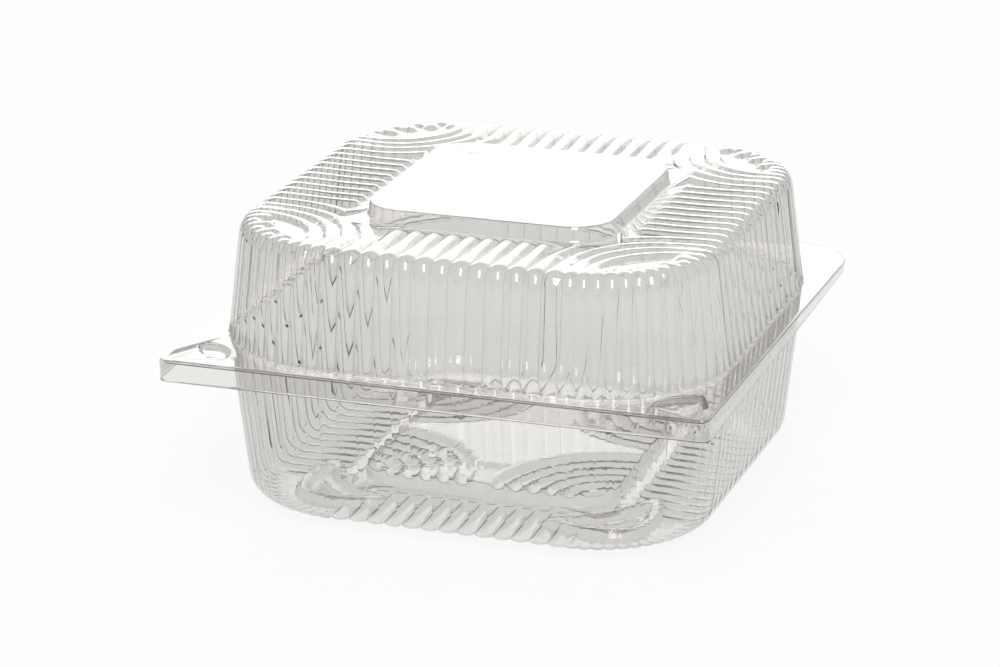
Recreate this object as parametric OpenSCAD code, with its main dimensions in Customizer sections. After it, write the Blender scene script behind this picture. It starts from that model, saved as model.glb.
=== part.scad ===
// Hinged clear clamshell pack, thermoformed from one sheet.
// A square ribbed tray and a square ribbed lid meet rim to rim and fold along the back edge.
// The origin is the middle of the footprint, on the surface that the feet stand on.

/* [Rim] */
// Outer width and depth of the lid rim
rim_w = 152; // [144:0.5:170]
// Radius of the two front corners of the rim
rim_front_r = 2.5; // [1:0.5:8]
// Radius of the two back corners of the rim
rim_back_r = 16.5; // [6:0.5:24]
// Height of the turned-down skirt at the front
skirt_front_h = 5.4; // [3:0.1:9]
// Height of the turned-down skirt where it ends at the back corners
skirt_back_h = 1.8; // [0.8:0.1:2.8]

/* [Sheet] */
// Thickness of the formed sheet
sheet_t = 0.5; // [0.35:0.05:0.8]
// Gap between the lid rim and the tray rim when shut
rim_gap = 0.3; // [0.2:0.05:0.8]
// Side clearance of the tray rim inside the skirt, and of the lid lock in its socket
fit_gap = 0.5; // [0.3:0.05:1]

/* [Ribs] */
// Height of a rib above the valleys beside it
rib_h = 1.5; // [0.8:0.1:2]
// Number of ribs on each straight wall
side_ribs = 13; // [9:2:13]
// Number of ribs round each corner
corner_ribs = 13; // [9:2:15]

/* [Lid] */
// Height of the lid's rib crests above the rim plane
lid_h = 32.1; // [24:0.1:60]
// Width of the flat ledge of the rim outside the lid's rib crests
lid_ledge = 5.7; // [4:0.1:10]
// Radius of the walls' corners at the lid rim, over the rib crests
corner_r = 37.15; // [32:0.05:42]
// Lean of the lid walls
lid_draft = 7; // [3:0.5:10]
// Radius of the lid's shoulder, over the rib crests
lid_edge_r = 4.6; // [4:0.1:8]

/* [Stacking pad] */
// Distance from the foot of the lid wall in to the foot of the raised pad
pad_inset = 35.3; // [33:0.1:45]
// Height of the pad above the flat moat around it
pad_h = 4; // [2:0.1:6]
// Corner radius of the pad
pad_r = 12; // [6:0.5:18]
// How far the pad narrows on each side from foot to top
pad_lean = 0.6; // [0.2:0.1:1.5]
// Width of the flat moat between the pad and the rib ends
moat_w = 4; // [3:0.5:5]

/* [Tray] */
// Depth of the tray's rib crests below the rim plane
tray_h = 45; // [36:0.1:70]
// Width of the flat ledge of the rim outside the tray's rib crests
tray_ledge = 5.6; // [4:0.1:10]
// Lean of the tray walls
tray_draft = 6.6; // [3:0.2:8]
// Radius of the tray's heel, over the rib crests
tray_edge_r = 6.4; // [5:0.1:9]
// How far the stepped middle of the floor stands up
step_h = 4; // [2:0.1:6]
// Gap between the lid pad of a pack below and the stepped floor that takes it
stack_gap = 1.5; // [0.5:0.1:3]

/* [Feet] */
// How far the feet stand below the floor's valleys
foot_h = 3; // [2.2:0.1:5]
// Width of a foot
foot_w = 6; // [4:0.5:8]
// Radius of the curve that a foot follows round its corner
foot_bend_r = 18; // [15:0.5:20]
// Angle that a foot spans on that curve
foot_span = 56; // [30:1:70]

/* [Corner locks] */
// Length of the pressed lock boss in the lid
lock_l = 16.5; // [12:0.5:18]
// Width of the pressed lock boss in the lid
lock_w = 9; // [6:0.5:10]
// Depth of the lock boss
lock_h = 3; // [1.5:0.1:4]
// Distance from the rib crests of the tray's corner to the lock boss
lock_gap = 2.3; // [1.6:0.1:5]

/* [Hidden] */
clear_plastic = [0.86, 0.88, 0.88, 0.5];
$fn = 64;
eps = 0.01;

// The walls stand a ledge in from the rim, and the ribs share the straight part between two corners
rim_half = rim_w / 2;
lid_foot = rim_half - lid_ledge;
tray_foot = rim_half - tray_ledge;
straight_half = lid_foot - corner_r;
rib_pitch = 2 * straight_half / side_ribs;

// A rib is a round-backed swelling of the sheet: its radius follows from its chord and height
rib_r = (pow(rib_pitch / 2, 2) + pow(rib_h, 2)) / (2 * rib_h);
sheet_depth = rib_h + sheet_t;

// Each rib is formed in a few straight steps across, and the rounded edge in a few steps along
rib_steps = 3;
corner_rib_steps = 2;
edge_steps = 2;
corner_cols = corner_ribs * corner_rib_steps;
side_cols = side_ribs * rib_steps;
quarter_cols = corner_cols + side_cols;

// The flat top and floor draw thinner than the walls, and run into the middle of the walls' sheet
thin = sheet_t / 5;
tongue = 0.6 * sheet_t;

// Rib runs on the flat top and floor
tip_run = 2.6;
finger_run = 2 * tip_run;
lid_turn_ribs = 2;
lid_corner_turns = 2;
tray_turn_ribs = 1;
tray_corner_turns = 0;
short_share = 0.6;
panel_turns = 5;
panel_sink = 1.5 * thin;
panel_gap = 2.1;

tray_rim_half = rim_half - sheet_t - fit_gap;
skirt_back_y = rim_half - rim_back_r;
pad_foot_half = lid_foot - pad_inset;
step_half = pad_foot_half + stack_gap + sheet_t;
stand_h = rim_gap / 2 + tray_h + foot_h - rib_h;
lock_place = straight_half + (tray_foot - straight_half + lock_gap + lock_w / 2) / sqrt(2);

// Half width of the centre line of the shoulder or heel, measured from the middle of the pack
function edge_centre(foot, h, draft, r) =
    foot - r * cos(draft) - (h - r + r * sin(draft)) * tan(draft);

// Radius round a corner centre where its rib fingers have run out
function ring_radius(foot, h, draft, r) = edge_centre(foot, h, draft, r) - straight_half - finger_run;

// Height of a rib above its valleys at a share u, -1 to 1, of its half width, as a share of rib_h
function rib_share(u) = (sqrt(pow(rib_r, 2) - pow(u * rib_pitch / 2, 2)) - rib_r + rib_h) / rib_h;

// Place across its rib of a column: -1 in the valley, towards 1 in the next
function column_share(j) = j < corner_cols
    ? 2 * (j % corner_rib_steps) / corner_rib_steps - 1
    : 2 * ((j - corner_cols) % rib_steps) / rib_steps - 1;

// What is left at a row of the rib that a column belongs to: every second finger of a corner is short
function rib_left(row, j) =
    j >= corner_cols ? row[5] : floor(j / corner_rib_steps) % 2 == 1 ? row[3] : row[4];

// Place of a rib along a straight wall
function rib_place(i) = (i - (side_ribs - 1) / 2) * rib_pitch;

// Rows of a ribbed wall from the rim over the rounded edge to the flat, each as crest radius from the
// corner centre, crest height, lean of its normal, and what is left of short, long and straight ribs
function wall_rows(foot, h, draft, r) =
    let (
        lift = sheet_depth * sin(draft),
        centre = edge_centre(foot, h, draft, r) - straight_half
    )
    concat(
        [[foot - straight_half - lift * tan(draft), lift, draft, 1, 1, 1]],
        [for (k = [0:edge_steps])
            let (lean = draft + (90 - draft) * k / edge_steps, end = k == edge_steps)
            [centre + r * cos(lean), h - r + r * sin(lean), lean, end ? short_share : 1, 1, 1]],
        [[centre - finger_run, h, 90, 0, 0, 1]]
    );

// Point of a quarter's sheet: the columns fan round the corner first, then follow the straight wall
function wall_point(row, j, under) =
    let (
        rib = rib_share(column_share(j)) * rib_left(row, j),
        sink = rib_h * (1 - rib) + under,
        radius = row[0] - sink * cos(row[2]),
        angle = 90 * min(j / corner_cols, 1),
        along = max(j - corner_cols, 0) * rib_pitch / rib_steps
    )
    [
        straight_half - along + radius * cos(angle),
        straight_half + radius * sin(angle),
        row[1] - sink * sin(row[2])
    ];

// A point turned by quarter turns about the middle of the pack
function quarter_turn(p, q) =
    [cos(90 * q) * p[0] - sin(90 * q) * p[1], sin(90 * q) * p[0] + cos(90 * q) * p[1], p[2]];

// One row of sheet points all round the pack
function wall_ring(row, under) =
    [for (q = [0:3], j = [0:quarter_cols - 1]) quarter_turn(wall_point(row, j, under), q)];

// Outline of the rim's hole, in the middle of the wall sheet so that wall and rim join
function hole_outline(foot) =
    [for (p = wall_ring([foot - straight_half, 0, 0, 1, 1, 1], sheet_t / 2)) [p[0], p[1]]];

// Outline of the flat plate, which reaches a tongue's length into the ends of the ribs
function plate_outline(ring_r) =
    [for (q = [0:3], j = [0:corner_cols])
        let (
            angle = 90 * j / corner_cols,
            x = straight_half + (ring_r + tongue) * cos(angle),
            y = straight_half + (ring_r + tongue) * sin(angle),
            p = quarter_turn([x, y, 0], q)
        )
        [p[0], p[1]]];

// Square with round corners, the front pair and the back pair each with a radius
module rounded_square(half, front_r, back_r) {
    for (sx = [-1, 1]) {
        translate([sx * (half - front_r), -half + front_r]) circle(front_r);
        translate([sx * (half - back_r), half - back_r]) circle(back_r);
    }
    translate([-half, -half + front_r]) square([2 * half, 2 * half - front_r - back_r]);
    translate([-half + front_r, -half]) square([2 * (half - front_r), half]);
    translate([-half + back_r, 0]) square([2 * (half - back_r), half]);
}

// Section of one rib above the flat, or of the hollow under it, with the crest line at the origin
module rib_back(hollow) {
    sink = hollow ? sheet_t - thin : thin;
    base = hollow ? -sheet_depth - eps : -rib_h - thin;
    back = [for (j = [0:rib_steps])
        let (u = 2 * j / rib_steps - 1) [u * rib_pitch / 2, rib_h * (rib_share(u) - 1) - sink]];
    polygon(concat([[-rib_pitch / 2, base - eps]], back, [[rib_pitch / 2, base - eps]]));
}

// Ribbed wall all round, over its rounded edge and in to the ends of the corner fingers
module ribbed_wall(foot, h, draft, r) {
    rows = wall_rows(foot, h, draft, r);
    last = len(rows) - 1;
    cols = 4 * quarter_cols;
    skin = cols * len(rows);
    points = concat(
        [for (row = rows) each wall_ring(row, 0)],
        [for (row = rows) each wall_ring(row, sheet_t)]
    );
    outside = [for (i = [0:last - 1], j = [0:cols - 1])
        let (a = i * cols + j, b = i * cols + (j + 1) % cols)
        each [[a, a + cols, b], [b, a + cols, b + cols]]];
    inside = [for (f = outside) [f[0] + skin, f[2] + skin, f[1] + skin]];
    rim_edge = [for (j = [0:cols - 1])
        let (a = j, b = (j + 1) % cols) each [[a, b, a + skin], [b, b + skin, a + skin]]];
    flat_edge = [for (f = rim_edge) [for (k = [0, 2, 1]) f[k] + last * cols]];
    polyhedron(points, concat(outside, inside, rim_edge, flat_edge));
}

// Straight ribs, or their hollows, that run in from one side across the flat plate
module rib_runs(ring_r, end_y, turn_ribs, hollow) {
    start_y = straight_half + ring_r + (hollow ? 2 * tongue : tongue);
    tip_y = end_y + (hollow ? sheet_t : 0);
    intersection() {
        translate([0, start_y, 0]) rotate([90, 0, 0]) linear_extrude(start_y - tip_y)
            for (i = [turn_ribs:side_ribs - 1 - turn_ribs]) translate([rib_place(i), 0]) rib_back(hollow);
        translate([-straight_half, 0, 0]) rotate([90, 0, 90]) linear_extrude(2 * straight_half)
            polygon([[tip_y, -2 * rib_h], [tip_y, -rib_h], [tip_y + tip_run, 1],
                [start_y + 1, 1], [start_y + 1, -2 * rib_h]]);
    }
}

// Ribs, or their hollows, that turn through a quarter round at one corner: the outer ones run on from
// the walls, and the inner ones are closed at both ends
module rib_turns(ring_r, turn_ribs, corner_turns, hollow) {
    turn_c = straight_half + ring_r + tongue;
    for (i = [0:turn_ribs + corner_turns - 1]) {
        turn_r = turn_c + rib_place(turn_ribs - 1) - i * rib_pitch;
        from_wall = i < turn_ribs;
        grow = hollow ? (from_wall ? tongue : -sheet_t) / turn_r * 180 / PI : 0;
        translate([turn_c, turn_c, 0]) rotate([0, 0, 180 - grow])
            rotate_extrude(angle = 90 + 2 * grow) translate([turn_r, 0]) rib_back(hollow);
    }
}

// All ribs of the flat plate, or all their hollows
module plate_ribs(ring_r, end_y, turn_ribs, corner_turns, hollow) {
    for (q = [0:3]) rotate([0, 0, 90 * q]) {
        rib_runs(ring_r, end_y, turn_ribs, hollow);
        rib_turns(ring_r, turn_ribs, corner_turns, hollow);
    }
}

// Block with round corners that narrows by lean on each side over its height
module tapered_block(half, r, height, lean) {
    hull() {
        linear_extrude(eps) rounded_square(half, r, r, $fn = 32);
        translate([0, 0, height - eps]) linear_extrude(eps)
            rounded_square(half - lean, r - lean, r - lean, $fn = 32);
    }
}

// Pointed oval of a corner lock, across the corner's diagonal
module lock_oval(grow) {
    half_w = lock_w / 2 + grow;
    half_l = lock_l / 2 + grow;
    bow_r = (pow(half_l, 2) + pow(half_w, 2)) / (2 * half_w);
    intersection() {
        translate([0, bow_r - half_w]) circle(bow_r);
        translate([0, half_w - bow_r]) circle(bow_r);
    }
}

// Puts its children at both front corners of the rim
module at_locks() {
    for (side = [-1, 1])
        translate([side * lock_place, -lock_place, 0])
            rotate([0, 0, side * 45]) children();
}

// Rim plate of the lid, with the skirt that hangs from its front and sides
module lid_rim() {
    difference() {
        union() {
            linear_extrude(sheet_t) rounded_square(rim_half, rim_front_r, rim_back_r);
            difference() {
                translate([0, 0, -skirt_front_h]) linear_extrude(skirt_front_h + eps) difference() {
                    rounded_square(rim_half, rim_front_r, rim_back_r);
                    rounded_square(rim_half - sheet_t, rim_front_r - sheet_t, rim_back_r - sheet_t);
                    translate([-rim_w, skirt_back_y]) square([2 * rim_w, rim_w]);
                }
                skirt_trim();
            }
            at_locks() translate([0, 0, -lock_h]) linear_extrude(lock_h + eps) lock_oval(0);
        }
        at_locks() translate([0, 0, sheet_t - lock_h]) linear_extrude(lock_h + 1) lock_oval(-sheet_t);
        translate([0, 0, -1]) linear_extrude(sheet_t + 2) polygon(hole_outline(lid_foot));
    }
}

// Space under the skirt's slanting lower edge
module skirt_trim() {
    rise = skirt_front_h - skirt_back_h;
    run = skirt_back_y + rim_half;
    translate([-rim_w, 0, 0]) rotate([90, 0, 90]) linear_extrude(2 * rim_w)
        polygon([[-rim_half, -skirt_front_h], [skirt_back_y, -skirt_back_h],
            [skirt_back_y + run, rise - skirt_back_h], [skirt_back_y + run, -2 * skirt_front_h],
            [-rim_half - 1, -2 * skirt_front_h], [-rim_half - 1, -skirt_front_h - rise / run]]);
}

// Rim plate of the tray, with the sockets that take the lid's lock bosses
module tray_rim() {
    socket = fit_gap + sheet_t;
    difference() {
        union() {
            linear_extrude(sheet_t) difference() {
                rounded_square(tray_rim_half, rim_front_r, rim_back_r - fit_gap - sheet_t);
                polygon(hole_outline(tray_foot));
            }
            at_locks() linear_extrude(lock_h + socket) lock_oval(socket);
        }
        at_locks() translate([0, 0, -1]) linear_extrude(lock_h + socket - sheet_t + 1) lock_oval(fit_gap);
    }
}

// Flat sheet of the top or floor, inside the rib fingers
module plate_sheet(ring_r) {
    translate([0, 0, thin - sheet_depth]) linear_extrude(sheet_t - 2 * thin) polygon(plate_outline(ring_r));
}

// Flat top of the lid: the ribs run in to a moat, and the stacking pad stands inside it
module lid_top() {
    ring_r = ring_radius(lid_foot, lid_h, lid_draft, lid_edge_r);
    rib_end = pad_foot_half + moat_w;
    difference() {
        union() {
            plate_sheet(ring_r);
            plate_ribs(ring_r, rib_end, lid_turn_ribs, lid_corner_turns, false);
            translate([0, 0, -sheet_depth])
                tapered_block(pad_foot_half, pad_r, pad_h + sheet_t, pad_lean);
        }
        plate_ribs(ring_r, rib_end, lid_turn_ribs, lid_corner_turns, true);
        translate([0, 0, -sheet_depth - sheet_t])
            tapered_block(pad_foot_half - sheet_t, pad_r - sheet_t, pad_h + sheet_t, pad_lean);
    }
}

// Ribs, or their hollows, that curve round the four corners of the stepped middle of the floor
module panel_ribs(hollow) {
    gap = panel_gap + (hollow ? sheet_t : 0);
    for (q = [0:3], i = [1:panel_turns]) {
        turn_r = step_half - i * rib_pitch;
        end = asin(gap / turn_r);
        rotate([0, 0, 90 * q]) translate([step_half, step_half, -step_h - panel_sink])
            rotate([0, 0, 180 + end]) rotate_extrude(angle = 90 - 2 * end)
                translate([turn_r, 0]) rib_back(hollow);
    }
}

// Foot that follows a curve across one corner of the floor
module foot_block(half_w, height) {
    end = foot_span / 2;
    rotate([0, 0, 45 - end]) rotate_extrude(angle = foot_span)
        translate([foot_bend_r - half_w, 0]) square([2 * half_w, height]);
    for (side = [-1, 1]) rotate([0, 0, 45 + side * end])
        translate([foot_bend_r, 0, 0]) cylinder(r = half_w, h = height);
}

// Sheet of the floor with its ribs and feet, before their hollows are cut: the middle is stepped up
module floor_sheet(ring_r, rib_end) {
    difference() {
        union() {
            plate_sheet(ring_r);
            plate_ribs(ring_r, rib_end, tray_turn_ribs, tray_corner_turns, false);
            translate([0, 0, -rib_h]) mirror([0, 0, 1])
                tapered_block(step_half, pad_r + stack_gap, step_h + sheet_t, pad_lean);
            at_floor_corners() translate([0, 0, -sheet_depth]) foot_block(foot_w / 2, foot_h + sheet_t);
        }
        mirror([0, 0, 1])
            tapered_block(step_half - sheet_t, pad_r + stack_gap - sheet_t, step_h + rib_h, pad_lean);
    }
    panel_ribs(false);
}

// Floor of the tray: the ribs run in to a moat, the middle steps up and four feet stand down
module tray_floor() {
    ring_r = ring_radius(tray_foot, tray_h, tray_draft, tray_edge_r);
    rib_end = step_half + moat_w;
    difference() {
        floor_sheet(ring_r, rib_end);
        plate_ribs(ring_r, rib_end, tray_turn_ribs, tray_corner_turns, true);
        panel_ribs(true);
        at_floor_corners() translate([0, 0, -sheet_depth - 1]) foot_block(foot_w / 2 - sheet_t, foot_h + 1);
    }
}

// Puts its children at the four corner centres of the floor
module at_floor_corners() {
    for (q = [0:3]) rotate([0, 0, 90 * q]) translate([straight_half, straight_half, 0]) children();
}

module lid() {
    color(clear_plastic) translate([0, 0, stand_h + rim_gap / 2]) {
        lid_rim();
        ribbed_wall(lid_foot, lid_h, lid_draft, lid_edge_r);
        translate([0, 0, lid_h]) lid_top();
    }
}

module base_tray() {
    color(clear_plastic) translate([0, 0, stand_h - rim_gap / 2]) mirror([0, 0, 1]) {
        tray_rim();
        ribbed_wall(tray_foot, tray_h, tray_draft, tray_edge_r);
        translate([0, 0, tray_h]) tray_floor();
    }
}

base_tray();
lid();
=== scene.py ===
"""Looks of a clear ribbed clamshell pack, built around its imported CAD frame.

The pack is one thin clear sheet, formed into a ribbed lid and a ribbed tray that fold along the back
edge. Each half is one surface: rows that run from the rim's outer edge over the wall to the middle, and
columns that go once round the pack, six to each rib. All sizes are in millimetres until a mesh is made.
"""

from __future__ import annotations

import logging
import math
from dataclasses import dataclass, field
from enum import Enum

import bpy
import numpy as np
from mathutils import Matrix, Vector

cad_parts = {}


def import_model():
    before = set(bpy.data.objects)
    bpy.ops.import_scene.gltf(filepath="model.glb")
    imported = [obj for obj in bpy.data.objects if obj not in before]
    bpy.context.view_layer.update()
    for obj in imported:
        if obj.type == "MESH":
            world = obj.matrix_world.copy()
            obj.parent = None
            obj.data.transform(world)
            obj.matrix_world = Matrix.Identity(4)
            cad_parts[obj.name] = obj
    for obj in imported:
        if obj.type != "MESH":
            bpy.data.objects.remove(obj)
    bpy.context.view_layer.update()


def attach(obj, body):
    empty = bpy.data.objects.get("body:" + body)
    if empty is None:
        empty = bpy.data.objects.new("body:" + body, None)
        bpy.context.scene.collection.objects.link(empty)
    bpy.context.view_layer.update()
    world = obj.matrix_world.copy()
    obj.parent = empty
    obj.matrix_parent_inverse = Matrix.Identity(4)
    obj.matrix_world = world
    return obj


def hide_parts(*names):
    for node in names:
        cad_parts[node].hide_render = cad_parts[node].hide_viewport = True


LOG = logging.getLogger("clamshell")
MM = 0.001
IMAGE_WIDTH = 1000
SENSOR_WIDTH = 36.0
SHARP_ANGLE = math.radians(28.0)

# Rounded foot of the pad's and the step's bank: distance out from its outline, and rise
BANK_FOOT = ((0.9, 0.0), (0.4, 0.06), (0.05, 0.4))
# Rounded edge of the pad's top: distance out from the top's outline, and distance below the top
PAD_EDGE = ((0.1, 0.5), (-0.15, 0.12), (-0.6, 0.0), (-1.4, 0.0))

Array = np.ndarray


class Half(Enum):
    """The two halves of the pack, each with the way its outside faces."""

    LID = 1
    TRAY = -1


class CornerTurn(Enum):
    """How the ribs of a flat run on at the corners."""

    NESTED_ARCS = "nested arcs"
    FEET = "feet"


def smooth_step(value: Array, low: float, high: float) -> Array:
    """Rises from 0 at low to 1 at high along the cubic 3t^2 - 2t^3.

    Args:
        value: Where the curve is read.
        low: Value below which the result is 0.
        high: Value above which the result is 1.

    Returns:
        The share for each value.
    """
    t = np.clip((value - low) / (high - low), 0.0, 1.0)
    return t * t * (3.0 - 2.0 * t)


def lerp(start: Array, end: Array | float, share: Array) -> Array:
    """Gives the values at a share of the way from start to end."""
    return start + (end - start) * share


def quarter_turns(x: Array, y: Array) -> tuple[Array, ...]:
    """Gives a quarter's points as they are and turned by one, two and three quarter turns."""
    return tuple(np.stack(turn, axis=1) for turn in ((x, y), (-y, x), (-x, -y), (y, -x)))


@dataclass(frozen=True)
class RibForm:
    """Half-round ribs of the sheet, as a ball-nosed cutter leaves them in the mould."""

    pitch: float = 5.1
    height: float = 1.5
    low_height: float = 0.9
    flat_height: float = 1.25
    per_side: int = 13
    per_corner: int = 13
    steps: int = 6

    @property
    def straight_half(self) -> float:
        """Half the length of the straight part of a wall."""
        return self.per_side * self.pitch / 2

    @property
    def radius(self) -> float:
        """Radius of the rib's back, from its chord and low height."""
        return ((self.pitch / 2) ** 2 + self.low_height**2) / (2 * self.low_height)

    def rise(self, distance: Array) -> Array:
        """Height of a rib's circular back over the valleys, and 0 beyond its foot.

        Args:
            distance: Distance from the rib's centre line.

        Returns:
            The rise at each distance.
        """
        inside = np.clip(self.radius**2 - distance**2, 0.0, None)
        return np.clip(np.sqrt(inside) - self.radius + self.low_height, 0.0, None)

    def flat_rise(self, distance: Array, height: float) -> Array:
        """Height of a rib on a flat, where its relief grows as the valleys deepen.

        Args:
            distance: Distance from the rib's centre line.
            height: How far the valleys lie in from the wall's crests.

        Returns:
            The rise at each distance.
        """
        share = (height - self.low_height) / (self.height - self.low_height)
        relief = self.low_height + share * (self.flat_height - self.low_height)
        return self.rise(distance) * relief / self.low_height


@dataclass(frozen=True)
class Columns:
    """Columns round the pack: each has a base point and a direction in which the rows lie.

    Each quarter fans round a corner centre first and then follows the straight wall.
    """

    ribs: RibForm

    @property
    def per_run(self) -> int:
        """Number of columns in a corner, and in a straight wall."""
        return self.ribs.per_side * self.ribs.steps

    @property
    def count(self) -> int:
        """Number of columns round the whole pack."""
        return 8 * self.per_run

    def _turned(self, quarter: Array) -> Array:
        """Repeats a quarter's points, turned by a quarter turn each time."""
        return np.concatenate(quarter_turns(quarter[:, 0], quarter[:, 1]))

    def directions(self) -> Array:
        """Unit vector of each column: (cos a, sin a) in a corner, and straight out on a wall."""
        angle = np.linspace(0.0, math.pi / 2, self.per_run, endpoint=False)
        fan = np.stack([np.cos(angle), np.sin(angle)], axis=1)
        wall = np.tile([0.0, 1.0], (self.per_run, 1))
        return self._turned(np.concatenate([fan, wall]))

    def bases(self, half: float | None = None) -> Array:
        """Base point of each column: the corner centre, or the place along the straight wall.

        Args:
            half: Half the straight length, the ribs' own when it is left out.

        Returns:
            One point for each column.
        """
        reach = self.ribs.straight_half if half is None else half
        fan = np.full((self.per_run, 2), reach)
        along = np.linspace(reach, -reach, self.per_run, endpoint=False)
        wall = np.stack([along, np.full(self.per_run, reach)], axis=1)
        return self._turned(np.concatenate([fan, wall]))

    def ring(self, radius: Array | float, half: float | None = None) -> Array:
        """Points at a radius from the bases, which is a square with round corners."""
        reach = np.asarray(radius, dtype=float)
        reach = reach[:, None] if reach.ndim else reach
        return self.bases(half) + self.directions() * reach

    def crest_distance(self, radius: float) -> Array:
        """Distance of each column from its rib's crest, along the wall.

        Args:
            radius: Radius of the wall's corners, which sets the width of a rib there.

        Returns:
            One distance for each column.
        """
        share = np.abs(np.arange(self.per_run) % self.ribs.steps / self.ribs.steps - 0.5)
        fan = share * radius * math.pi / 2 / self.ribs.per_corner
        wall = share * self.ribs.pitch
        return np.tile(np.concatenate([fan, wall]), 4)


@dataclass(frozen=True)
class FlatPattern:
    """Where the ribs run on the flat top or floor, in one eighth of the square.

    A point is folded into that eighth by taking its absolute values and putting the smaller first. Each
    of turns is a rib that bends round a point on the diagonal: its place in steps round the corner, that
    point's distance from the corner centre, and the arc's radius.
    """

    ribs: RibForm
    corner: CornerTurn
    run_end: float
    turn_centre: float = 55.0
    long_end: float = 26.6
    short_end: float = 29.4
    turns: tuple[tuple[float, float, float], ...] = ((12.5, 32.6, 21.6), (11.5, 36.5, 20.7))

    def _segment(self, points: Array, start: Array, direction: Array) -> Array:
        """Distance from a half-line that leaves start in a direction."""
        offset = points - start
        along = np.clip(offset @ direction, 0.0, None)
        return np.linalg.norm(offset - along[..., None] * direction, axis=-1)

    def _straight(self, folded: Array, index: int) -> Array:
        """Distance from a rib that runs straight in and ends in a ball."""
        start = np.array([index * self.ribs.pitch, self.run_end])
        return self._segment(folded, start, np.array([0.0, 1.0]))

    def _turning(self, folded: Array, index: int) -> Array:
        """Distance from a rib that runs in and then turns through a quarter circle."""
        place = index * self.ribs.pitch
        offset = folded - self.turn_centre
        arc = np.abs(np.linalg.norm(offset, axis=-1) - (self.turn_centre - place))
        straight = np.abs(folded[..., 0] - place)
        return np.where(folded[..., 1] > self.turn_centre, straight, arc)

    def _finger(self, folded: Array, angle: float, end: float) -> Array:
        """Distance from a rib that runs in from the corner and ends at a radius."""
        direction = np.array([math.cos(angle), math.sin(angle)])
        start = self.ribs.straight_half + direction * end
        return self._segment(folded, start, direction)

    def _corner_turn(self, folded: Array, angle: float, out: float, radius: float) -> Array:
        """Distance from a rib that leaves its corner line for an arc about a point on the diagonal."""
        direction = np.array([math.cos(angle), math.sin(angle)])
        tangent = math.sqrt(out**2 - radius**2)
        start = self.ribs.straight_half + direction * tangent
        line = self._segment(folded, start, direction)
        centre = self.ribs.straight_half + out / math.sqrt(2.0)
        arc = np.abs(np.linalg.norm(folded - centre, axis=-1) - radius)
        along = (folded - self.ribs.straight_half) @ direction
        return np.where(along > tangent, line, arc)

    def distance(self, points: Array) -> Array:
        """Distance of each point from the nearest rib line.

        Args:
            points: Places on the flat, in the pack's plan.

        Returns:
            The smallest distance for each point.
        """
        folded = np.sort(np.abs(points), axis=-1)
        step = math.pi / 2 / self.ribs.per_corner
        # Ribs are numbered out from the wall's middle, and in a corner from its first side
        nearest = [self._straight(folded, index) for index in range(5)]
        if self.corner is CornerTurn.NESTED_ARCS:
            nearest += [self._turning(folded, index) for index in (5, 6)]
            for place, out, radius in self.turns:
                nearest.append(self._corner_turn(folded, place * step, out, radius))
            ends = tuple((index, self.short_end if index % 2 else self.long_end) for index in range(6, 11))
        else:
            nearest += [self._straight(folded, index) for index in (5, 6)]
            ends = tuple((index, self.long_end) for index in range(6, 13))
        nearest += [self._finger(folded, (index + 0.5) * step, end) for index, end in ends]
        return np.min(nearest, axis=0)


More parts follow.
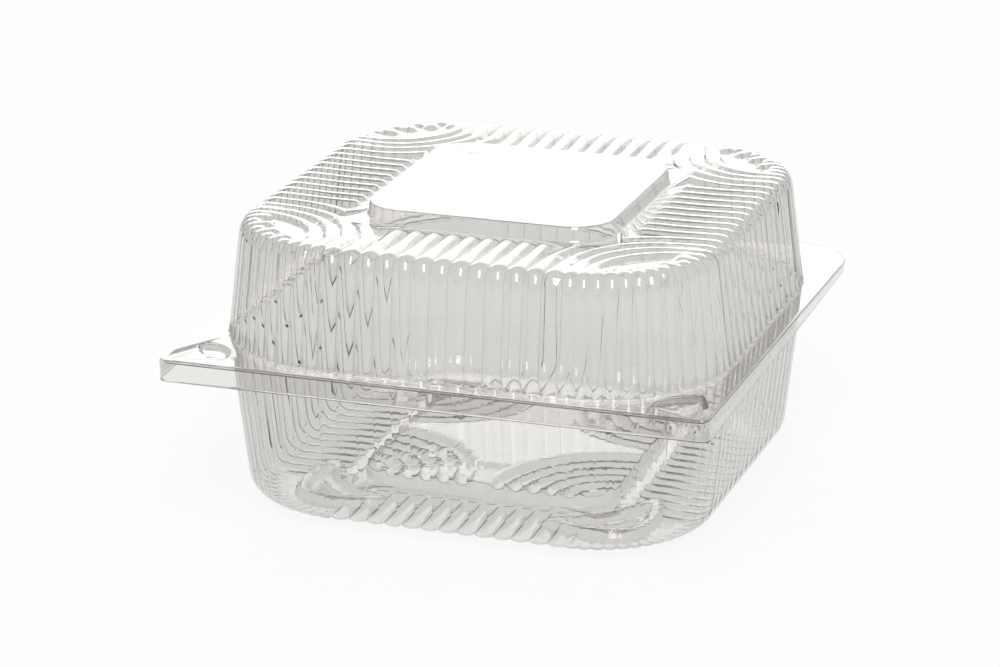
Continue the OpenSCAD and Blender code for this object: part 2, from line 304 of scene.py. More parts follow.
@dataclass(frozen=True)
class RimForm:
    """Outline of a rim, its skirt and its two corner locks.

    Each of skirt_rows is a share of the skirt's drop and a lift over it. Each of the two parts is the share
    of a corner's columns that lies on the edge beside it, on each side.
    """

    half: float
    front_r: float
    back_r: float
    plate: float
    skirt_front: float
    skirt_back: float
    skirt_end: float
    bend_r: float
    lock_place: float
    lock_half_length: float
    lock_half_width: float
    lock_depth: float
    lock_soft_widths: tuple[float, float] = (0.15, 5.0)
    lock_slope: float = 1.5
    lock_slope_share: float = 0.33
    lock_half_way: float = 0.45
    lock_brim_share: float = 0.03
    lock_lead: float = 0.12
    lock_least_width: float = 0.1
    missed_shares: tuple[float, float] = (0.4, 0.6)
    missed_least: float = 0.5
    skirt_fade: tuple[float, float] = (-1.0, 5.0)
    skirt_rows: tuple[tuple[float, float], ...] = ((1.0, 0.15), (0.86, 0.15), (0.5, 0.1))
    least_bend: float = 0.2
    bend_share: float = 0.5
    bend_angles: tuple[float, ...] = (0.0, 30.0, 60.0, 90.0)
    tight_r: float = 8.0
    tight_part: float = 0.36
    wide_part: float = 0.22
    plate_inset: float = 0.4
    foot_gap: float = 0.35
    foot_row: float = 0.3

    def outline(self, columns: Columns, inset: float) -> Array:
        """Points of the rim's outline, where each column meets it, closer together round the corners.

        Args:
            columns: Columns of the half.
            inset: Distance of the outline in from the rim's edge.

        Returns:
            One point for each column.
        """
        share = np.linspace(0.0, 1.0, columns.per_run, endpoint=False)
        quarters = []
        for turn in range(4):
            radius = self.back_r if turn < 2 else self.front_r
            quarters.append(self._corner(share, radius, inset, turn, columns))
        return np.concatenate(quarters)

    def _corner(self, share: Array, radius: float, inset: float, turn: int, columns: Columns) -> Array:
        """One quarter of the outline: edge, round corner, edge, and then the straight wall's part."""
        reach = columns.ribs.straight_half
        half = self.half - inset
        bend = max(radius - inset, self.least_bend)
        flat = half - bend - reach
        part = self.tight_part if radius < self.tight_r else self.wide_part
        first = np.clip(share / part, 0.0, 1.0)
        middle = np.clip((share - part) / (1.0 - 2.0 * part), 0.0, 1.0) * math.pi / 2
        last = np.clip((share - 1.0 + part) / part, 0.0, 1.0)
        x = half - bend + bend * np.cos(middle) - last * flat
        y = reach + first * flat + bend * np.sin(middle)
        along = np.linspace(reach, -reach, columns.per_run, endpoint=False)
        x = np.concatenate([x, along])
        y = np.concatenate([y, np.full(columns.per_run, half)])
        return quarter_turns(x, y)[turn]

    def skirt_drop(self, points: Array) -> Array:
        """How far the skirt hangs at each point: least at the back corners, and none on the back edge."""
        share = np.clip((points[:, 1] + self.half) / (self.skirt_end + self.half), 0.0, 1.0)
        drop = self.skirt_front + (self.skirt_back - self.skirt_front) * share
        start, end = self.skirt_fade
        return drop * (1.0 - smooth_step(points[:, 1], self.skirt_end + start, self.skirt_end + end))

    def lock_span(self, foot: Array, outer: Array) -> tuple[Array, Array]:
        """Where each column's line crosses the lock at its corner.

        A lock is a pointed oval, the part that two circles share. A line is inside it from the later of
        its two entries to the earlier of its two exits. A line that misses it takes a narrow span instead.

        Args:
            foot: Start of each line, at the wall's foot.
            outer: End of each line, near the rim's edge.

        Returns:
            Shares of the line at which it enters and leaves the lock.
        """
        side = np.where(foot[:, 0] < 0.0, -1.0, 1.0)
        centre = np.stack([side * self.lock_place, np.full_like(side, -self.lock_place)], axis=1)
        outward = np.stack([side, -np.ones_like(side)], axis=1) / math.sqrt(2.0)
        bow = (self.lock_half_length**2 + self.lock_half_width**2) / (2.0 * self.lock_half_width)
        line = outer - foot
        square = np.sum(line**2, axis=1)
        spans = []
        for way in (-1.0, 1.0):
            start = foot - (centre + outward * way * (bow - self.lock_half_width))
            middle = -np.sum(start * line, axis=1) / square
            room = middle**2 - (np.sum(start**2, axis=1) - bow**2) / square
            reach = np.sqrt(np.clip(room, 0.0, None))
            spans.append((middle - reach, middle + reach, room > 0.0))
        near = np.maximum(spans[0][0], spans[1][0])
        far = np.minimum(spans[0][1], spans[1][1])
        inside = spans[0][2] & spans[1][2] & (far > near) & (near > 0.0) & (far < 1.0)
        length = np.sqrt(square)
        run = np.sum(line * outward, axis=1).clip(self.missed_least)
        missed = np.clip(np.sum((centre - foot) * outward, axis=1) / run, *self.missed_shares)
        near = np.where(inside, near, missed)
        far = np.where(inside, far, missed)
        least = self.lock_least_width / length
        return np.minimum(near, far - least), far


@dataclass
class SheetHalf:
    """One half of the pack: its rim, ribbed wall, rounded edge and patterned flat."""

    half: Half
    name: str
    ribs: RibForm
    rim: RimForm
    pattern: FlatPattern
    seat: float
    foot: float
    depth: float
    draft: float
    edge_r: float
    flat_half: float
    flat_rows: int
    deepen_share: float = 0.6
    thickness: float = 0.22
    wall_rows: int = 8
    edge_rows: int = 7
    rows: list[Array] = field(default_factory=list)

    def __post_init__(self) -> None:
        """Prepares the columns that all rows share."""
        self.columns = Columns(self.ribs)
        self.lean = math.radians(self.draft)

    def add_row(self, plan: Array, depth: Array | float) -> None:
        """Adds a row of points at a depth out from the rim plane."""
        level = np.broadcast_to(np.asarray(depth, dtype=float), plan.shape[:1])
        self.rows.append(np.concatenate([plan, level[:, None]], axis=1))

    def wall_ring(self, radius: float, depth: float, lean: float) -> tuple[Array, Array]:
        """A row of the ribbed wall: the crest line sinks along its normal into the valleys.

        Args:
            radius: Radius of the crests from the corner centres.
            depth: Distance of the crests out from the rim plane.
            lean: Angle of the wall's normal out of the rim plane.

        Returns:
            The plan points and depths of the row.
        """
        sink = self.ribs.low_height - self.ribs.rise(self.columns.crest_distance(radius))
        plan = self.columns.ring(radius - sink * math.cos(lean))
        return plan, depth - sink * math.sin(lean)

    def edge_centre(self) -> tuple[float, float]:
        """Radius from the corner centres, and depth, of the rounded edge's centre line."""
        drop = self.depth - self.edge_r
        foot = self.foot - self.ribs.straight_half
        top = drop + self.edge_r * math.sin(self.lean)
        out = foot - self.edge_r * math.cos(self.lean) - top * math.tan(self.lean)
        return out, drop

    def build_wall(self) -> None:
        """Adds the wall, which leans in, and the rounded edge, which turns from wall to flat."""
        out, drop = self.edge_centre()
        first = self.rim.plate + self.rim.foot_gap
        top = drop + self.edge_r * math.sin(self.lean)
        foot = self.foot - self.ribs.straight_half
        for level in np.linspace(first, top, self.wall_rows, endpoint=False):
            self.add_row(*self.wall_ring(foot - level * math.tan(self.lean), level, self.lean))
        for lean in np.linspace(self.lean, math.pi / 2, self.edge_rows):
            radius = out + self.edge_r * math.cos(lean)
            self.add_row(*self.wall_ring(radius, drop + self.edge_r * math.sin(lean), lean))

    def flat_level(self, plan: Array, height: float) -> Array:
        """Depth of the patterned flat: the valley level and the rise of the nearest rib.

        Args:
            plan: Places on the flat.
            height: How far the valleys lie in from the wall's crests there.

        Returns:
            One depth for each place.
        """
        return self.depth - height + self.ribs.flat_rise(self.pattern.distance(plan), height)

    def build_flat(self) -> None:
        """Adds the rows of the flat, whose valleys deepen from the rounded edge in to the moat."""
        out, _ = self.edge_centre()
        inner = self.flat_half - self.ribs.straight_half
        shares = np.linspace(0.0, 1.0, self.flat_rows + 1)[1:]
        deeper = smooth_step(shares, 0.0, self.deepen_share)
        heights = self.ribs.low_height + (self.ribs.height - self.ribs.low_height) * deeper
        for share, height in zip(shares, heights):
            plan = self.columns.ring(out + (inner - out) * share)
            self.add_row(plan, self.flat_level(plan, float(height)))

    def build_rim(self) -> None:
        """Adds the skirt, the bend at the edge, the rim plate with its locks, and the wall's foot."""
        rim = self.rim
        edge = rim.outline(self.columns, 0.0)
        drop = rim.skirt_drop(edge)
        bend = np.minimum(rim.bend_r, rim.least_bend + rim.bend_share * drop)
        if rim.skirt_front > 0:
            for share, lift in rim.skirt_rows:
                self.add_row(edge, rim.plate - bend - share * drop + lift)
        for lean in np.radians(rim.bend_angles):
            plan = rim.outline(self.columns, rim.bend_r * (1.0 - math.cos(lean)))
            self.add_row(plan, rim.plate - bend * (1.0 - math.sin(lean)))
        outer = rim.outline(self.columns, rim.bend_r + rim.plate_inset)
        foot, _ = self.wall_ring(self.foot - self.ribs.straight_half, rim.plate, self.lean)
        foot = foot + self.columns.directions() * rim.foot_gap
        for plan, level in self.plate_rows(outer, foot):
            self.add_row(plan, level)

    def plate_rows(self, outer: Array, foot: Array) -> list[tuple[Array, Array]]:
        """Rows of the rim plate: they bunch along the two bows of each lock and step down inside it.

        Args:
            outer: Points of the plate's outer row.
            foot: Points at the wall's foot.

        Returns:
            Plan points and depths, from the outer row in to the foot.
        """
        rim = self.rim
        near, far = rim.lock_span(foot, outer)
        length = np.linalg.norm(outer - foot, axis=1)
        width = (far - near) * length
        sunk = rim.lock_depth * smooth_step(width, *rim.lock_soft_widths)
        inset = np.minimum(rim.lock_slope, rim.lock_slope_share * width) / length
        lead = rim.lock_lead / length
        flat = np.zeros_like(sunk)
        shares = (
            (np.ones_like(near), flat),
            (far + lead, flat),
            (far, rim.lock_brim_share * sunk),
            (far - rim.lock_half_way * inset, 0.5 * sunk),
            (far - inset, sunk),
            (0.5 * (near + far), sunk),
            (near + inset, sunk),
            (near + rim.lock_half_way * inset, 0.5 * sunk),
            (near, rim.lock_brim_share * sunk),
            (near - lead, flat),
            (np.minimum(rim.foot_row / length, 0.5 * near), flat),
            (np.zeros_like(near), flat),
        )
        return [(foot + (outer - foot) * share[:, None], rim.plate - down) for share, down in shares]

    def surface(self) -> tuple[Array, Array]:
        """Joins all rows into one surface that closes round the pack and in its middle.

        Returns:
            The points in metres, in the row frame, and the faces as rows of four point numbers.
        """
        counts = np.array([len(row) for row in self.rows])
        starts = np.concatenate([[0], np.cumsum(counts)])
        pairs = zip(starts, counts, starts[1:], counts[1:])
        faces = [self.strip(*pair) for pair in pairs]
        last = starts[-2] + np.arange(counts[-1])
        hub = np.full(counts[-1], starts[-1])
        faces.append(np.stack([last, np.roll(last, -1), hub, hub], axis=1))
        middle = np.array([[0.0, 0.0, self.rows[-1][:, 2].mean()]])
        points = np.concatenate(self.rows + [middle])
        points[:, 2] = self.seat + self.half.value * points[:, 2]
        quads = np.concatenate(faces)
        return points * MM, quads if self.half is Half.LID else quads[:, ::-1]

    @staticmethod
    def strip(start: int, count: int, next_start: int, next_count: int) -> Array:
        """Faces between two rows, of which the inner one may have half as many points.

        Args:
            start: Number of the outer row's first point.
            count: Points in the outer row.
            next_start: Number of the inner row's first point.
            next_count: Points in the inner row.

        Returns:
            Faces of four points each, where a triangle repeats its last point.
        """
        if count == next_count:
            here = np.arange(count)
            there = np.roll(here, -1)
            return np.stack([start + here, start + there, next_start + there, next_start + here], axis=1)
        inner = np.arange(next_count)
        ahead = np.roll(inner, -1)
        first, middle, last = start + 2 * inner, start + 2 * inner + 1, start + 2 * ahead
        left = np.stack([first, middle, next_start + inner, next_start + inner], axis=1)
        right = np.stack([middle, last, next_start + ahead, next_start + ahead], axis=1)
        fill = np.stack([middle, next_start + ahead, next_start + inner, next_start + inner], axis=1)
        return np.concatenate([left, right, fill])

    def make(self, finish: ClearSheet, body: str, node: str) -> bpy.types.Object:
        """Builds the half as a mesh, gives it the sheet's thickness and puts it on its body.

        Args:
            finish: The sheet's finish.
            body: The CAD body that it moves with.
            node: The CAD node that it stands for.

        Returns:
            The finished piece.
        """
        self.build_rim()
        self.build_wall()
        self.build_flat()
        self.build_middle()
        piece = mesh_object(self.name, *self.surface())
        solid = piece.modifiers.new("sheet thickness", "SOLIDIFY")
        solid.thickness = self.thickness * MM
        solid.offset = -1.0
        piece.data.materials.append(finish.material())
        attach(piece, body)
        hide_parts(node)
        return piece

    def build_middle(self) -> None:
        """Adds what stands inside the moat."""
        raise NotImplementedError


@dataclass
class Lid(SheetHalf):
    """The lid, with a raised square pad in the middle of its top."""

    pad_half: float = 35.0
    pad_r: float = 12.0
    pad_h: float = 4.0
    pad_lean: float = 0.6
    bank_slope: float = 1.6
    top_shares: tuple[float, ...] = (0.95, 0.5)

    def flat_level(self, plan: Array, height: float) -> Array:
        """Depth of the top, where the moat's bank cuts the ribs off."""
        moat = self.depth - self.ribs.height
        straight = self.pad_half - self.pad_r
        offset = np.clip(np.abs(plan) - straight, 0.0, None)
        bank = np.linalg.norm(offset, axis=-1) - (self.flat_half - straight)
        limit = moat + np.clip(self.bank_slope * bank, 0.0, None)
        return np.minimum(super().flat_level(plan, height), limit)

    def build_middle(self) -> None:
        """Adds the moat, the pad's wall with rounded edges and its flat top, which shrinks to the middle."""
        level = self.depth - self.ribs.height
        straight = self.pad_half - self.pad_r
        edge = tuple((out - self.pad_lean, self.pad_h - fall) for out, fall in PAD_EDGE)
        for out, rise in BANK_FOOT + edge:
            self.add_row(self.columns.ring(self.pad_r + out, straight), level + rise)
        inner = self.rows[-1][::2, :2]
        for share in self.top_shares:
            self.add_row(inner * share, level + self.pad_h)


@dataclass(frozen=True)
class Kidney:
    """A kidney that curves round a centre: widest at angle 0, with round tips."""

    bend_r: float
    half_width: float
    tip_r: float
    half_span: float
    taper_power: float = 1.3

    def distance(self, along: Array, across: Array) -> Array:
        """Distance of each point from the outline, negative inside.

        Args:
            along: Distance from the centre in the direction of angle 0.
            across: Distance from that direction.

        Returns:
            One distance for each point.
        """
        held = np.clip(np.arctan2(across, along), -self.half_span, self.half_span)
        taper = 1.0 - np.abs(held / self.half_span) ** self.taper_power
        reach = self.tip_r + (self.half_width - self.tip_r) * taper
        spine = self.bend_r + reach
        return np.hypot(along - spine * np.cos(held), across - spine * np.sin(held)) - reach


@dataclass
class Tray(SheetHalf):
    """The tray, with a stepped floor, arcs on the step and a curved foot at each corner.

    Each range says where something fades in: the corner flats by distance from the middle lines, the heel's
    grooves by distance from the rounded edge, and a foot's well by distance inside its dish.
    """

    step_half: float = 36.6
    step_r: float = 13.0
    step_h: float = 4.0
    step_lean: float = 0.6
    foot_centre: float = 22.0
    lip: Kidney = Kidney(bend_r=29.5, half_width=8.75, tip_r=3.4, half_span=math.radians(27.0))
    dish: Kidney = Kidney(bend_r=31.9, half_width=6.0, tip_r=1.8, half_span=math.radians(20.0))
    lip_h: float = 0.6
    foot_slope: float = 1.9
    foot_h: float = 3.0
    shelf_h: float = 1.2
    corner_range: tuple[float, float] = (32.2, 34.2)
    groove_range: tuple[float, float] = (-4.0, -0.5)
    well_range: tuple[float, float] = (3.4, 5.2)
    arc_out: float = 0.4
    arc_count: int = 6
    panel_rows: int = 30
    hub_share: float = 0.02

    def corner_level(self, plan: Array) -> Array:
        """Depth of the flat at a corner, at the level of the crests, with the ends of the heel's grooves.

        Args:
            plan: Places on the floor.

        Returns:
            One depth for each place.
        """
        out, _ = self.edge_centre()
        offset = np.abs(plan) - self.ribs.straight_half
        radius = np.linalg.norm(offset, axis=-1)
        turn = np.arctan2(offset[..., 1], offset[..., 0]) / (math.pi / 2) * self.ribs.per_corner
        distance = np.abs(turn % 1.0 - 0.5) * radius * math.pi / 2 / self.ribs.per_corner
        groove = self.ribs.low_height - self.ribs.rise(distance)
        start, end = self.groove_range
        return self.depth - groove * smooth_step(radius, out + start, out + end)

    def flat_level(self, plan: Array, height: float) -> Array:
        """Depth of the floor: ribs on the sides, and at each corner a flat with a lipped and dished foot."""
        moat = self.depth - self.ribs.height
        folded = np.abs(plan)
        at_corner = smooth_step(folded.min(axis=-1), *self.corner_range)
        level = lerp(super().flat_level(plan, height), self.corner_level(plan), at_corner)
        along = (folded[..., 0] + folded[..., 1]) / math.sqrt(2.0) - self.foot_centre
        across = (folded[..., 1] - folded[..., 0]) / math.sqrt(2.0)
        on_lip = 1.0 - smooth_step(self.lip.distance(along, across), -self.foot_slope, 0.0)
        level = lerp(level, moat - self.lip_h, on_lip)
        inside = -self.dish.distance(along, across)
        bowl = self.shelf_h + (self.foot_h - self.shelf_h) * smooth_step(inside, *self.well_range)
        return lerp(level, moat + bowl, smooth_step(inside, 0.0, self.foot_slope))

    def panel_level(self, plan: Array) -> Array:
        """Depth of the stepped middle: ribs on circles about its four corners, a rib's pitch apart."""
        centre = self.step_half + self.arc_out
        radius = np.linalg.norm(np.abs(plan) - centre, axis=-1)
        count = np.clip(np.round((centre - radius) / self.ribs.pitch), 1, self.arc_count)
        distance = np.abs(radius - (centre - count * self.ribs.pitch))
        rise = self.ribs.flat_rise(distance, self.ribs.height)
        return self.depth - self.ribs.height - self.step_h + rise

    def build_middle(self) -> None:
        """Adds the bank of the step and the ribbed panel, which closes in to the middle."""
        level = self.depth - self.ribs.height
        straight = self.step_half - self.step_r
        for out, rise in BANK_FOOT:
            self.add_row(self.columns.ring(self.step_r + out, straight), level - rise)
        plan = self.columns.ring(self.step_r - self.step_lean, straight)
        self.add_row(plan, self.panel_level(plan))
        for share in np.linspace(1.0, self.hub_share, self.panel_rows)[1:]:
            inner = plan[::2] * share
            self.add_row(inner, self.panel_level(inner))


def mesh_object(name: str, points: Array, quads: Array) -> bpy.types.Object:
    """Makes a smooth-shaded mesh object from points and faces, with its sharp bends kept sharp.

    Args:
        name: Name of the piece.
        points: Points in metres.
        quads: Faces of four points, where a triangle repeats its last point.

    Returns:
        The object, linked to the scene.
    """
    triangle = quads[:, 2] == quads[:, 3]
    flipped = quads[:, 0] == quads[:, 1]
    faces = [quads[~(triangle | flipped)], quads[triangle][:, :3], quads[flipped][:, 1:]]
    sizes = np.concatenate([np.full(len(part), part.shape[1]) for part in faces])
    corners = np.concatenate([part.ravel() for part in faces])
    mesh = bpy.data.meshes.new(name)
    mesh.vertices.add(len(points))
    mesh.vertices.foreach_set("co", points.astype(np.float32).ravel())
    mesh.loops.add(len(corners))
    mesh.loops.foreach_set("vertex_index", corners.astype(np.int32))
    mesh.polygons.add(len(sizes))
    mesh.polygons.foreach_set("loop_start", np.concatenate([[0], np.cumsum(sizes)[:-1]]).astype(np.int32))
    mesh.polygons.foreach_set("use_smooth", np.ones(len(sizes), dtype=bool))
    mesh.update(calc_edges=True)
    mesh.validate()
    mesh.set_sharp_from_angle(angle=SHARP_ANGLE)
    piece = bpy.data.objects.new(name, mesh)
    bpy.context.scene.collection.objects.link(piece)
    return piece


def color_socket(sockets: bpy.types.bpy_prop_collection, name: str) -> bpy.types.NodeSocket:
    """Finds the colour socket of a name, where a node has one of that name for each kind of data."""
    return next(socket for socket in sockets if socket.name == name and socket.type == "RGBA")


@dataclass(frozen=True)
class ClearSheet:
    """Clear gloss plastic sheet, faintly grey, with the slight waviness of a formed sheet."""

    name: str = "formed_clear_sheet"
    face_tint: tuple[float, float, float] = (0.832, 0.824, 0.807)
    edge_tint: tuple[float, float, float] = (0.625, 0.618, 0.603)
    edge_blend: float = 0.3
    roughness: float = 0.01
    ior: float = 1.54
    ripple_scale: float = 90.0
    ripple_detail: float = 2.0
    ripple_strength: float = 0.015

    def material(self) -> bpy.types.Material:
        """Makes the material, or gives the one that is already there."""
        known = bpy.data.materials.get(self.name)
        if known is not None:
            return known
        material = bpy.data.materials.new(self.name)
        material.use_nodes = True
        nodes = material.node_tree.nodes
        links = material.node_tree.links
        shader = nodes["Principled BSDF"]
        facing = nodes.new("ShaderNodeLayerWeight")
        facing.inputs["Blend"].default_value = self.edge_blend
        tint = nodes.new("ShaderNodeMix")
        tint.data_type = "RGBA"
        color_socket(tint.inputs, "A").default_value = (*self.face_tint, 1.0)
        color_socket(tint.inputs, "B").default_value = (*self.edge_tint, 1.0)
        links.new(facing.outputs["Facing"], tint.inputs[0])
        links.new(color_socket(tint.outputs, "Result"), shader.inputs["Base Color"])
        shader.inputs["Roughness"].default_value = self.roughness
        shader.inputs["IOR"].default_value = self.ior
        shader.inputs["Transmission Weight"].default_value = 1.0
        place = nodes.new("ShaderNodeTexCoord")
        ripple = nodes.new("ShaderNodeTexNoise")
        ripple.inputs["Scale"].default_value = self.ripple_scale
        ripple.inputs["Detail"].default_value = self.ripple_detail
        bump = nodes.new("ShaderNodeBump")
        bump.inputs["Strength"].default_value = self.ripple_strength
        bump.inputs["Distance"].default_value = MM
        links.new(place.outputs["Object"], ripple.inputs["Vector"])
        links.new(ripple.outputs["Fac"], bump.inputs["Height"])
        links.new(bump.outputs["Normal"], shader.inputs["Normal"])
        return material


def math_node(
    tree: bpy.types.NodeTree,
    operation: str,
    first: bpy.types.NodeSocket,
    second: bpy.types.NodeSocket | float,
) -> bpy.types.NodeSocket:
    """Adds a node that reckons with two values.

    Args:
        tree: The node tree.
        operation: What the node does.
        first: Socket of the first value.
        second: Socket of the second value, or a number.

    Returns:
        The socket of the result.
    """
    node = tree.nodes.new("ShaderNodeMath")
    node.operation = operation
    tree.links.new(first, node.inputs[0])
    if isinstance(second, bpy.types.NodeSocket):
        tree.links.new(second, node.inputs[1])
    else:
        node.inputs[1].default_value = second
    return node.outputs[0]


@dataclass(frozen=True)
class SoftLamp:
    """An oblong soft lamp that hangs at a place and faces the pack, in metres and watts."""

    name: str
    place: tuple[float, float, float]
    size: tuple[float, float]
    power: float
    aim: tuple[float, float, float] = (0.0, 0.0, 0.05)
    matt_share: float = 0.5

    def make(self) -> None:
        """Hangs the lamp and turns it to the pack. The camera doesn't see it."""
        lamp = bpy.data.lights.new(self.name, "AREA")
        lamp.shape = "RECTANGLE"
        lamp.size, lamp.size_y = self.size
        lamp.energy = self.power
        lamp.diffuse_factor = self.matt_share
        holder = bpy.data.objects.new(self.name, lamp)
        holder.visible_camera = False
        holder.location = self.place
        toward = Vector(self.aim) - Vector(self.place)
        holder.rotation_euler = toward.to_track_quat("-Z", "Y").to_euler()
        bpy.context.scene.collection.objects.link(holder)


@dataclass(frozen=True)
class Studio:
    """Pale floor, soft studio light and a pale surround that is darker on the camera's side."""

    front_grey: float = 0.65
    back_white: float = 1.0
    ramp_start: float = 0.3
    ramp_end: float = 0.85
    floor_half: float = 3.0
    floor_gap: float = 0.0002
    floor_color: tuple[float, float, float] = (0.88, 0.88, 0.875)
    floor_roughness: float = 0.9
    floor_glow: float = 0.9
    lamps: tuple[SoftLamp, ...] = (
        SoftLamp("front softbox", place=(0.25, -0.72, 0.93), size=(0.3, 1.1), power=8.0),
        SoftLamp("back softbox", place=(-0.33, 0.94, 0.42), size=(0.9, 0.6), power=2.5),
    )

    def straight_sight(self, tree: bpy.types.NodeTree) -> bpy.types.NodeSocket:
        """Gives 1 where the camera sees straight, also through the sheet, and 0 after a reflection."""
        path = tree.nodes.new("ShaderNodeLightPath")
        seen = self.seen_share(tree, ("Is Camera Ray", "Is Transmission Ray"))
        unbroken = math_node(tree, "LESS_THAN", path.outputs["Glossy Depth"], 0.5)
        return math_node(tree, "MULTIPLY", unbroken, seen)

    def seen_share(self, tree: bpy.types.NodeTree, kinds: tuple[str, ...]) -> bpy.types.NodeSocket:
        """Gives 1 on the light paths of the named kinds, and 0 on the others."""
        path = tree.nodes.new("ShaderNodeLightPath")
        total = path.outputs[kinds[0]]
        for kind in kinds[1:]:
            total = math_node(tree, "MAXIMUM", total, path.outputs[kind])
        return total

    def make_world(self) -> None:
        """Makes the surround: white where it is seen, and a ramp from front to back in reflections."""
        world = bpy.data.worlds.new("studio surround")
        bpy.context.scene.world = world
        world.use_nodes = True
        tree = world.node_tree
        tree.nodes.clear()
        out = tree.nodes.new("ShaderNodeOutputWorld")
        place = tree.nodes.new("ShaderNodeTexCoord")
        split = tree.nodes.new("ShaderNodeSeparateXYZ")
        ramp = tree.nodes.new("ShaderNodeMapRange")
        ramp.interpolation_type = "SMOOTHSTEP"
        ramp.inputs["From Min"].default_value = self.ramp_start
        ramp.inputs["From Max"].default_value = self.ramp_end
        ramp.inputs["To Min"].default_value = self.front_grey
        ramp.inputs["To Max"].default_value = self.back_white
        room = tree.nodes.new("ShaderNodeBackground")
        white = tree.nodes.new("ShaderNodeBackground")
        white.inputs["Color"].default_value = (1.0, 1.0, 1.0, 1.0)
        mix = tree.nodes.new("ShaderNodeMixShader")
        tree.links.new(place.outputs["Generated"], split.inputs[0])
        tree.links.new(split.outputs["Y"], ramp.inputs["Value"])
        tree.links.new(ramp.outputs[0], room.inputs["Strength"])
        tree.links.new(self.straight_sight(tree), mix.inputs[0])
        tree.links.new(room.outputs[0], mix.inputs[1])
        tree.links.new(white.outputs[0], mix.inputs[2])
        tree.links.new(mix.outputs[0], out.inputs[0])

    def make_floor(self) -> None:
        """Makes the floor, a pale surface that glows in part where it is seen, so it keeps the shadow."""
        square = np.array([[-1.0, -1.0, 0.0], [1.0, -1.0, 0.0], [1.0, 1.0, 0.0], [-1.0, 1.0, 0.0]])
        corners = square * self.floor_half - [0.0, 0.0, self.floor_gap]
        floor = mesh_object("floor", corners, np.array([[0, 1, 2, 3]]))
        material = bpy.data.materials.new("pale floor")
        material.use_nodes = True
        tree = material.node_tree
        shader = tree.nodes["Principled BSDF"]
        shader.inputs["Base Color"].default_value = (*self.floor_color, 1.0)
        shader.inputs["Roughness"].default_value = self.floor_roughness
        glow = tree.nodes.new("ShaderNodeEmission")
        mix = tree.nodes.new("ShaderNodeMixShader")
        seen = self.seen_share(tree, ("Is Camera Ray", "Is Glossy Ray", "Is Transmission Ray"))
        tree.links.new(math_node(tree, "MULTIPLY", seen, self.floor_glow), mix.inputs[0])
        tree.links.new(shader.outputs[0], mix.inputs[1])
        tree.links.new(glow.outputs[0], mix.inputs[2])
        tree.links.new(mix.outputs[0], tree.nodes["Material Output"].inputs[0])
        floor.data.materials.append(material)

    def make(self) -> None:
        """Makes the surround, the floor and the lamps."""
        self.make_world()
        self.make_floor()
        for lamp in self.lamps:
            lamp.make()


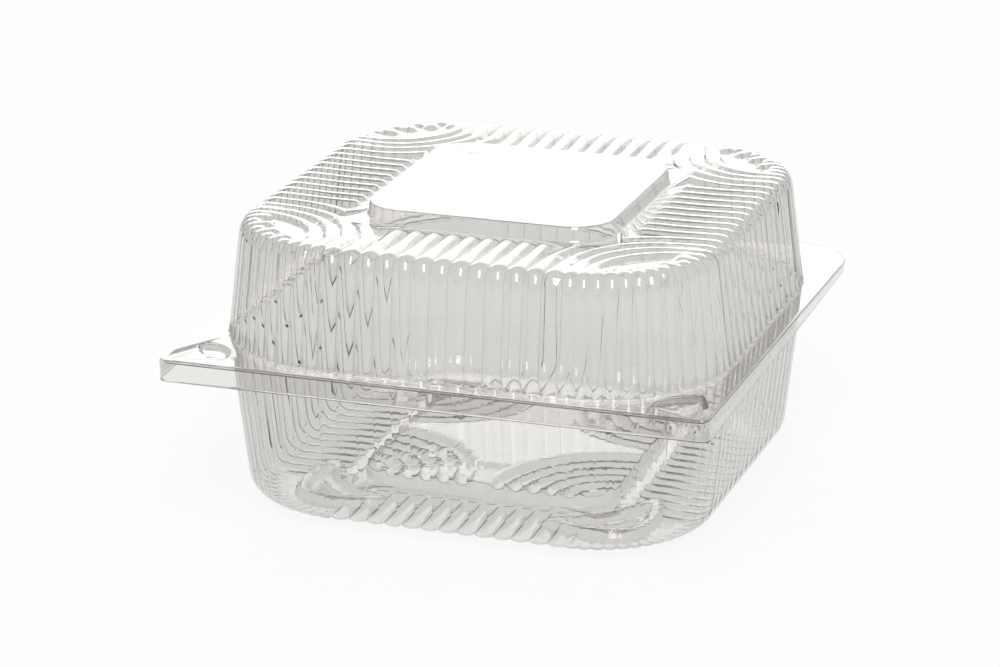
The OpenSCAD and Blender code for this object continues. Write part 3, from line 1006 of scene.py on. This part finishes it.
@dataclass(frozen=True)
class PhotoCamera:
    """Camera at the photograph's viewing angle, from a fit of the pack's outlines."""

    azimuth: float = math.radians(19.425)
    elevation: float = math.radians(18.954)
    roll: float = math.radians(-0.3765)
    distance: float = 1034.5
    shift_right: float = -5.93
    shift_up: float = -8.70
    focal_pixels: float = 3744.4
    rim_level: float = 47.1
    clip_start: float = 0.01
    clip_end: float = 50.0

    def make(self) -> bpy.types.Object:
        """Makes the camera: it looks along minus back, and its right and up are turned by the roll."""
        back = Vector(
            (
                math.sin(self.azimuth) * math.cos(self.elevation),
                -math.cos(self.azimuth) * math.cos(self.elevation),
                math.sin(self.elevation),
            )
        )
        level = Vector((math.cos(self.azimuth), math.sin(self.azimuth), 0.0))
        upright = back.cross(level)
        right = level * math.cos(self.roll) + upright * math.sin(self.roll)
        up = upright * math.cos(self.roll) - level * math.sin(self.roll)
        place = back * self.distance + right * self.shift_right + up * self.shift_up
        place.z += self.rim_level
        camera = bpy.data.cameras.new("photo camera")
        camera.sensor_width = SENSOR_WIDTH
        camera.sensor_fit = "HORIZONTAL"
        camera.lens = self.focal_pixels * SENSOR_WIDTH / IMAGE_WIDTH
        camera.clip_start = self.clip_start
        camera.clip_end = self.clip_end
        holder = bpy.data.objects.new("photo camera", camera)
        turn = Matrix((right, up, back)).transposed()
        holder.matrix_world = Matrix.Translation(place * MM) @ turn.to_4x4()
        bpy.context.scene.collection.objects.link(holder)
        bpy.context.scene.camera = holder
        return holder


def make_halves(finish: ClearSheet) -> list[bpy.types.Object]:
    """Makes the lid and the tray with the sizes of their CAD nodes.

    Args:
        finish: Finish of the sheet.

    Returns:
        The two pieces.
    """
    ribs = RibForm()
    tray_ribs = RibForm(low_height=0.65, flat_height=1.5)
    lid = Lid(
        half=Half.LID,
        name="lid_sheet",
        ribs=ribs,
        rim=RimForm(
            half=76.0,
            front_r=2.5,
            back_r=16.5,
            plate=0.5,
            skirt_front=5.4,
            skirt_back=1.8,
            skirt_end=59.5,
            bend_r=0.7,
            lock_place=64.3,
            lock_half_length=7.75,
            lock_half_width=4.0,
            lock_depth=1.2,
        ),
        pattern=FlatPattern(ribs, CornerTurn.NESTED_ARCS, run_end=41.5),
        seat=46.8,
        foot=70.3,
        depth=32.1,
        draft=7.0,
        edge_r=4.6,
        flat_half=39.0,
        flat_rows=32,
    )
    tray = Tray(
        half=Half.TRAY,
        name="tray_sheet",
        ribs=tray_ribs,
        rim=RimForm(
            half=75.0,
            front_r=2.5,
            back_r=15.5,
            plate=0.5,
            skirt_front=0.0,
            skirt_back=0.0,
            skirt_end=59.5,
            bend_r=0.3,
            lock_place=64.3,
            lock_half_length=9.25,
            lock_half_width=5.5,
            lock_depth=-1.0,
        ),
        pattern=FlatPattern(tray_ribs, CornerTurn.FEET, run_end=43.5),
        seat=46.5,
        foot=70.4,
        depth=45.0,
        draft=6.6,
        edge_r=6.4,
        flat_half=38.0,
        flat_rows=29,
    )
    return [lid.make(finish, "lid", "lid"), tray.make(finish, "tray", "base_tray")]


def main() -> None:
    """Builds the pack around its frame, and the studio, and logs the points and faces of each piece."""
    logging.basicConfig(level=logging.INFO, format="%(name)s: %(message)s")
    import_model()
    bpy.context.scene.view_settings.view_transform = "Standard"
    PhotoCamera().make()
    Studio().make()
    for piece in make_halves(ClearSheet()):
        LOG.info("%s: %d points, %d faces", piece.name, len(piece.data.vertices), len(piece.data.polygons))


if __name__ == "__main__":
    main()
